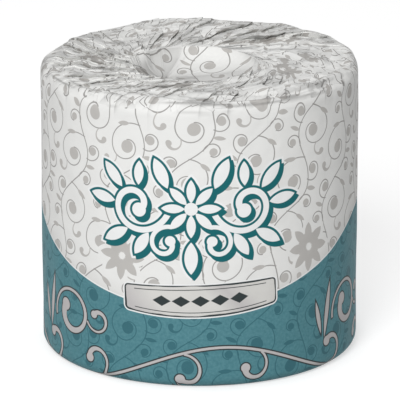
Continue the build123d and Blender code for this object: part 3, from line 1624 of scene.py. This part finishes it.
    def vines(self, spot: Spot) -> tuple[Value, Value]:
        """Draws the small scrollwork that covers the whole sheet, on stems that climb at a slant.

        Args:
            spot: The spot, counted from the front and the foot.

        Returns:
            The depth in its thin lines and the depth in its filled shapes, in mm.
        """
        curls = (
            Curl((0.4, -2.2), 18.0, 9.6, 0.2, 400.0, ball=2.3),
            Curl((6.0, 5.9), 205.0, 4.2, 0.16, 330.0, ball=1.7),
            Curl((-5.7, 6.6), -100.0, 3.6, 0.16, 300.0, ball=1.4, clockwise=False),
            Curl((-6.6, -7.6), 38.0, 3.4, 0.25, 215.0, 0.4, 2.2, ball=1.1, clockwise=False),
        )
        leaves = (
            Leaf((-0.8, 4.8), 80.0, 4.6, 1.6),
            Leaf((9.0, -3.5), -110.0, 5.0, 1.7),
        )
        scroll = Scrollwork(wave=40.0, pitch=21.1, sway=5.0, stem=0.4, curls=curls, leaves=leaves)
        return scroll.depth(spot.along(self.vine_tilt).off(self.vine_place))

    def silver_scrolls(self, spot: Spot) -> Value:
        """Draws the large silver scrolls along the foot.

        Args:
            spot: The spot, counted from the front and the foot.

        Returns:
            The depth in them, in mm.
        """
        curls = (
            Curl((-1.0, -14.0), 165.0, 11.0, 0.12, 410.0, 0.9, 3.6, ball=2.3, clockwise=False),
            Curl((-13.0, -1.0), 95.0, 7.0, 0.2, 225.0, 0.8, 2.6, ball=1.8),
            Curl((11.5, 0.2), 60.0, 6.4, 0.2, 240.0, 0.8, 2.6, ball=1.7),
            Curl((12.6, -14.6), 165.0, 5.4, 0.14, 300.0, 0.7, 1.9, ball=1.4),
        )
        leaves = (
            Leaf((-16.5, -5.0), -82.0, 21.0, 2.2),
            Leaf((-18.5, -7.0), -103.0, 13.0, 1.9),
        )
        scroll = Scrollwork(wave=self.pack.girth / self.scrolls_round, pitch=90.0, sway=8.5, stem=0.95,
                            curls=curls, leaves=leaves, row_step=0.0)
        middle = spot.off(self.scroll_place).off((-scroll.wave / 4, -scroll.pitch / 2))
        return highest(*scroll.depth(middle))

    def below_edge(self, spot: Spot) -> Value:
        """Works out how far a spot lies below the bowed edge between the white field and the teal one.

        Args:
            spot: The spot, counted from the front and the foot.

        Returns:
            The depth in mm, below 0 above the edge.
        """
        off = (spot.x - self.edge_middle).repeated(self.pack.girth / self.edge_waves)
        level = self.edge_level + off * off * self.edge_bow
        return level.math("SMOOTH_MIN", self.edge_top, self.edge_rounding) - spot.y

    def printed(self, sheet: Value, spot: Spot) -> Value:
        """Prints the sheet.

        Args:
            sheet: The spot's place on the sheet.
            spot: The same, counted from the front and the foot and shifted where the paper is crumpled.

        Returns:
            The colour.
        """
        drift = Spot(*sheet.noise(self.warp_scale, 1.0, "Color").parts()).off((0.5, 0.5))
        warped = Spot(spot.x + drift.x * (2 * self.warp), spot.y + drift.y * (2 * self.warp))
        lines, fills = self.vines(warped)
        place = warped.off(self.rosette_place)
        flowers = self.rosette.depth(Spot(place.x.repeated(self.pack.girth / self.rosettes_round),
                                          place.y.repeated(self.rosette_rise)))
        clear = 1.0 - (flowers + self.rosette_clearance).ink()
        lined = lines.ink() * clear
        filled = highest(fills.ink() * clear, flowers.ink())
        below = self.below_edge(spot)
        shaded = (below + self.edge_shade_height).ink(self.edge_shade_softness) * self.edge_shade
        white = shaded.mix(self.white, self.grey)
        white = filled.mix(lined.mix(white, self.line_grey), self.grey)
        mottle = (sheet.noise(self.mottle_scale, 3.0) - 0.5).ink(self.mottle_softness)
        teal = mottle.mix(self.teal, self.light_teal)
        teal = highest(filled, lined).mix(teal, self.deep_teal)
        scrolls = self.silver_scrolls(spot)
        teal = scrolls.ink().mix((scrolls + self.outline).ink().mix(teal, self.dark), self.silver)
        line = (self.edge_line - abs(below + self.edge_line)).ink()
        colour = line.mix(below.ink().mix(white, teal), self.clean_white)
        return self.badge(self.ornament(colour, spot), sheet, spot)

    def ornament(self, under: Value, spot: Spot) -> Value:
        """Prints the ornament with its outline and its shadow.

        Args:
            under: The colour under it.
            spot: The spot, counted from the front and the foot.

        Returns:
            The colour with it on.
        """
        spray = Spray()
        shape, shadow = spray.depth(spot), spray.depth(spot.off(self.spray_shadow_place))
        colour = (shape + self.spray_rim).ink().mix(under, self.clean_white)
        outlined = highest(shape + self.spray_outline, shadow + self.spray_shadow)
        colour = outlined.ink().mix(colour, self.ornament_teal)
        return shape.ink().mix(colour, self.clean_white)

    def badge(self, under: Value, sheet: Value, spot: Spot) -> Value:
        """Prints the silver plate with its white and dark edge.

        Args:
            under: The colour under it.
            sheet: The spot's place on the sheet.
            spot: The same, counted from the front and the foot.

        Returns:
            The colour with it on.
        """
        plaque = Plaque()
        plate = plaque.depth(spot)
        # painted sheen: the plate's silver is darker in slanted bands and at its left end
        silver = plaque.sheen(spot).mix(self.bright_silver, self.silver)
        colour = (plate - self.outline).ink().mix(plate.ink().mix(under, self.clean_white), self.dark)
        rim = sheet.noise(self.plate_rim_scale, 1.0) * self.plate_rim_stray
        colour = (plate - self.plate_rim - rim).ink().mix(colour, silver)
        return plaque.marks(spot).ink().mix(colour, self.dark)


@dataclass(frozen=True)
class Studio:
    """The pale floor, soft light and camera.

    Its lengths are in mm but for the lamp's, the sight's and the floor's, which are in m.
    """

    camera_distance: float = 1900.0
    camera_elevation: float = 17.55
    view_width: float = 146.1
    aim: tuple[float, float] = (0.15, 52.75)
    sensor_width: float = 36.0
    sight: float = 100.0
    key_place: tuple[float, float, float] = (-0.42, -1.57, 1.26)
    key_size: float = 0.9
    key_power: float = 27.5
    sky: float = 0.42
    floor_reach: float = 6.0
    floor_colour: Colour = (0.55, 0.55, 0.55, 1)
    floor_roughness: float = 0.9
    floor_glow: float = 0.63
    shadow_middle: tuple[float, float] = (1.5, -2.0)
    shadow_radius: float = 60.5
    shadow_softness: float = 9.0
    shadow_depth: float = 0.1

    def build(self) -> list[bpy.types.Object]:
        """Makes the camera, the lamp, the world and the floor.

        Returns:
            The floor, in a list.
        """
        scene = bpy.context.scene
        scene.view_settings.view_transform = "Standard"
        self.place_camera(scene)
        self.hang_key(scene)
        self.paint_world(scene)
        return [self.lay_floor(scene)]

    def place_camera(self, scene: bpy.types.Scene) -> None:
        """Stands the camera where the photograph was taken from.

        Args:
            scene: The scene to add it to.
        """
        lens = bpy.data.cameras.new("camera")
        lens.sensor_width = self.sensor_width
        lens.lens = self.sensor_width * self.camera_distance / self.view_width
        lens.clip_end = self.sight
        camera = bpy.data.objects.new("camera", lens)
        tilt = radians(self.camera_elevation)
        away = Vector((0, -cos(tilt), sin(tilt))) * self.camera_distance
        camera.location = (away + Vector((self.aim[0], 0, self.aim[1]))) * MM
        camera.rotation_euler = (pi / 2 - tilt, 0, 0)
        scene.collection.objects.link(camera)
        scene.camera = camera

    def hang_key(self, scene: bpy.types.Scene) -> None:
        """Hangs one soft lamp in front, a little to the left, above the camera.

        Args:
            scene: The scene to add it to.
        """
        lamp = bpy.data.lights.new("key", "AREA")
        lamp.shape = "DISK"
        lamp.size = self.key_size
        lamp.energy = self.key_power
        holder = bpy.data.objects.new("key", lamp)
        holder.location = self.key_place
        aim = Vector((0, 0, self.aim[1] * MM)) - holder.location
        holder.rotation_euler = aim.to_track_quat("-Z", "Y").to_euler()
        scene.collection.objects.link(holder)

    def paint_world(self, scene: bpy.types.Scene) -> None:
        """Surrounds the roll with soft light, which the camera sees as white.

        Args:
            scene: The scene to add it to.
        """
        world = bpy.data.worlds.new("surroundings")
        world.use_nodes = True
        wiring = Wiring(world.node_tree)
        wiring.tree.nodes.clear()
        seen = wiring.value("ShaderNodeLightPath", None, None, "Is Camera Ray")
        light, backdrop = [
            wiring.value("ShaderNodeBackground", None, {"Color": (1, 1, 1, 1), "Strength": strength})
            for strength in (self.sky, 1.0)
        ]
        both = wiring.value("ShaderNodeMixShader", None, {0: seen, 1: light, 2: backdrop})
        wiring.node("ShaderNodeOutputWorld", None, {0: both})
        scene.world = world

    def floor_material(self) -> bpy.types.Material:
        """Makes the floor's paint, which the camera sees as white but for a soft painted shadow round the
        foot.

        Returns:
            The material.
        """
        material = bpy.data.materials.new("floor")
        material.use_nodes = True
        wiring = Wiring(material.node_tree)
        surface = wiring.tree.nodes["Principled BSDF"]
        wiring.feed(surface.inputs["Base Color"], self.floor_colour)
        wiring.feed(surface.inputs["Roughness"], self.floor_roughness)
        path = wiring.node("ShaderNodeLightPath")
        seen = highest(*[Value(wiring, path.outputs[f"Is {ray} Ray"])
                         for ray in ("Camera", "Glossy", "Transmission")])
        plain = Value(wiring, surface.outputs[0])
        glow = wiring.value("ShaderNodeEmission", None, {"Strength": self.floor_glow})
        glowing = wiring.value("ShaderNodeAddShader", None, {0: plain, 1: glow})
        place = Spot(*wiring.value("ShaderNodeTexCoord", None, None, "Object").parts())
        # painted shadow: the floor's glow dims in a soft ring round the roll's foot
        out = place.off((self.shadow_middle[0] * MM, self.shadow_middle[1] * MM)).reach * (1 / MM)
        near = 1.0 - (out - self.shadow_radius).ink(self.shadow_softness)
        lit = seen * (1.0 - near * near * self.shadow_depth)
        both = wiring.value("ShaderNodeMixShader", None, {0: lit, 1: plain, 2: glowing})
        wiring.feed(wiring.tree.nodes["Material Output"].inputs[0], both)
        return material

    def lay_floor(self, scene: bpy.types.Scene) -> bpy.types.Object:
        """Lays a wide pale floor.

        Args:
            scene: The scene to add it to.

        Returns:
            The floor.
        """
        plane = bmesh.new()
        bmesh.ops.create_grid(plane, x_segments=1, y_segments=1, size=self.floor_reach)
        mesh = bpy.data.meshes.new("floor")
        plane.to_mesh(mesh)
        plane.free()
        mesh.materials.append(self.floor_material())
        floor = bpy.data.objects.new("floor", mesh)
        scene.collection.objects.link(floor)
        return floor


def main() -> None:
    """Builds the wrapper and the studio."""
    logging.basicConfig(level=logging.INFO, format="%(message)s")
    _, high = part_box(NODE)
    pack = Pack(radius=high.x / MM)
    sheet = Wrapper(pack)
    wrapper = sheet.build()
    wrapper.data.materials.append(PaperFinish(pack, sheet.section.mouth_start).material())
    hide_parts(NODE)
    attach(wrapper, "root")
    log.info("wrapper: %d faces", len(wrapper.data.polygons))
    for piece in Studio().build():
        log.info("%s: laid", piece.name)


if __name__ == "__main__":
    main()
